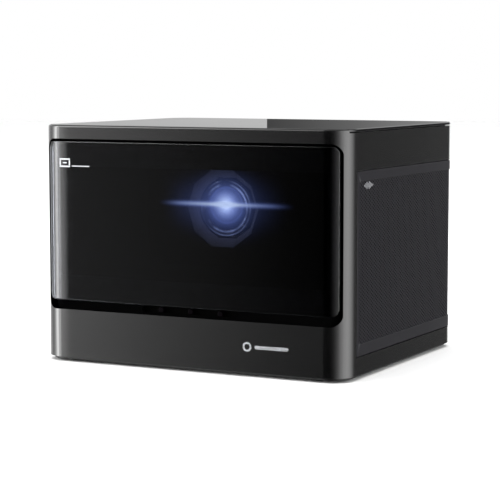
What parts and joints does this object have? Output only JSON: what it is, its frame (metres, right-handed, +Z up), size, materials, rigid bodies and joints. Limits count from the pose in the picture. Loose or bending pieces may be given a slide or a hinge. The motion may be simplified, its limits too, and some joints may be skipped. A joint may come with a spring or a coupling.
{
  "type": "home projector",
  "caption": "Compact box-shaped home projector with a wrapped black front glass, a glossy top plate, perforated sides, a motor-focused lens, twin fans, side speakers and rear connectors.",
  "frame": {"origin": "middle of the footprint, on the surface that the feet stand on", "axes": "+X to the right seen from the front, -Y the way the lens points, +Z up"},
  "size_m": [0.246, 0.209, 0.174],
  "materials": {
    "shell_plastic": "satin dark grey, fine texture",
    "base_plastic": "matt black",
    "front_glass": "tinted black, polished",
    "top_glass": "black back-painted, polished",
    "grille_metal": "satin dark grey, perforated",
    "inner_black": "matt black",
    "tape_black": "foam tape",
    "foot_rubber": "soft matt",
    "emblem_metal": "satin bright",
    "screw_steel": "black zinc",
    "insert_brass": "machined",
    "board_green": "solder mask",
    "sensor_glass": "dark filter",
    "lens_glass": "coated optical glass",
    "lens_metal": "black anodised",
    "gear_plastic": "acetal",
    "motor_steel": "zinc plated",
    "cast_metal": "die cast",
    "sink_aluminium": "extruded",
    "frame_steel": "stamped",
    "pipe_copper": "copper tube",
    "wheel_mirror": "phosphor coated",
    "fan_plastic": "black",
    "speaker_box_plastic": "black",
    "basket_steel": "black painted",
    "cone_paper": "coated pulp",
    "port_metal": "nickel plated",
    "port_plastic": "black"
  },
  "bodies": {
    "housing": {"audio_jack": "port_plastic", "base_screws": "screw_steel", "base_tray": "base_plastic", "dc_inlet": "port_plastic", "dmd_board": "board_green", "dmd_heat_sink": "sink_aluminium", "engine_cover": "inner_black", "engine_housing": "cast_metal", "engine_screws": "screw_steel", "fan_frame_left": "fan_plastic", "fan_frame_right": "fan_plastic", "feet": "foot_rubber", "focus_motor": "motor_steel", "front_baffle": "inner_black", "front_emblem": "emblem_metal", "front_frame": "shell_plastic", "front_glass": "front_glass", "glass_tape": "tape_black", "hdmi_sockets": "port_metal", "heat_pipes": "pipe_copper", "io_panel": "base_plastic", "lan_socket": "port_metal", "laser_heat_sink": "sink_aluminium", "laser_module": "cast_metal", "lens_barrel": "lens_metal", "lens_hood": "inner_black", "main_board": "board_green", "main_shell": "shell_plastic", "power_switch": "port_plastic", "prism_block": "lens_glass", "rear_cover": "shell_plastic", "rear_grille": "grille_metal", "rear_lens": "lens_glass", "rear_screws": "screw_steel", "relay_lens": "lens_glass", "sensor_board": "board_green", "sensor_windows": "sensor_glass", "shift_frame": "frame_steel", "side_grille_left": "grille_metal", "side_grille_right": "grille_metal", "speaker_basket_left": "basket_steel", "speaker_basket_right": "basket_steel", "speaker_box_left": "speaker_box_plastic", "speaker_box_right": "speaker_box_plastic", "top_glass": "top_glass", "top_tape": "tape_black", "tripod_insert": "insert_brass", "usb_sockets": "port_metal", "wheel_motor": "motor_steel"},
    "focus_gear": {"focus_gear": "gear_plastic"},
    "focus_pinion": {"focus_pinion": "gear_plastic"},
    "focus_cell": {"focus_cell": "lens_metal", "front_lens": "lens_glass"},
    "shift_plate": {"shift_plate": "lens_glass"},
    "phosphor_wheel": {"phosphor_wheel": "wheel_mirror"},
    "fan_rotor_left": {"fan_rotor_left": "fan_plastic"},
    "fan_rotor_right": {"fan_rotor_right": "fan_plastic"},
    "speaker_cone_left": {"speaker_cone_left": "cone_paper"},
    "speaker_cone_right": {"speaker_cone_right": "cone_paper"},
    "power_button": {"power_button": "shell_plastic"}
  },
  "joints": [
    {"name": "focus_spin", "type": "hinge", "parent": "housing", "child": "focus_gear", "pos_m": [0.026, -0.0702, 0.117], "axis": [0, 1, 0], "range_deg": [-40, 40]},
    {"name": "pinion_spin", "type": "hinge", "parent": "housing", "child": "focus_pinion", "pos_m": [-0.007, -0.0702, 0.117], "axis": [0, 1, 0], "range_deg": [-150, 150]},
    {"name": "focus_slide", "type": "slide", "parent": "housing", "child": "focus_cell", "axis": [0, 1, 0], "range_m": [-0.0015, 0.0015]},
    {"name": "shift_tilt", "type": "hinge", "parent": "housing", "child": "shift_plate", "pos_m": [0.026, -0.0265, 0.117], "axis": [1, 0, 0], "range_deg": [-0.5, 0.5]},
    {"name": "wheel_spin", "type": "hinge", "parent": "housing", "child": "phosphor_wheel", "pos_m": [-0.025, -0.009, 0.1075], "axis": [1, 0, 0], "continuous": true},
    {"name": "fan_left_spin", "type": "hinge", "parent": "housing", "child": "fan_rotor_left", "pos_m": [-0.044, 0.095, 0.1], "axis": [0, 1, 0], "continuous": true},
    {"name": "fan_right_spin", "type": "hinge", "parent": "housing", "child": "fan_rotor_right", "pos_m": [0.044, 0.095, 0.1], "axis": [0, 1, 0], "continuous": true},
    {"name": "cone_left_slide", "type": "slide", "parent": "housing", "child": "speaker_cone_left", "axis": [-1, 0, 0], "range_m": [-0.001, 0.001], "stiffness_N_per_m": 1500},
    {"name": "cone_right_slide", "type": "slide", "parent": "housing", "child": "speaker_cone_right", "axis": [1, 0, 0], "range_m": [-0.001, 0.001], "stiffness_N_per_m": 1500},
    {"name": "button_press", "type": "slide", "parent": "housing", "child": "power_button", "axis": [0, -1, 0], "range_m": [0, 0.0008], "stiffness_N_per_m": 900, "springref_m": -0.0004}
  ],
  "couplings": [
    {"joint": "focus_spin", "follows": "focus_slide", "rad_per_m": 465.4},
    {"joint": "pinion_spin", "follows": "focus_slide", "rad_per_m": -1728.6}
  ]
}
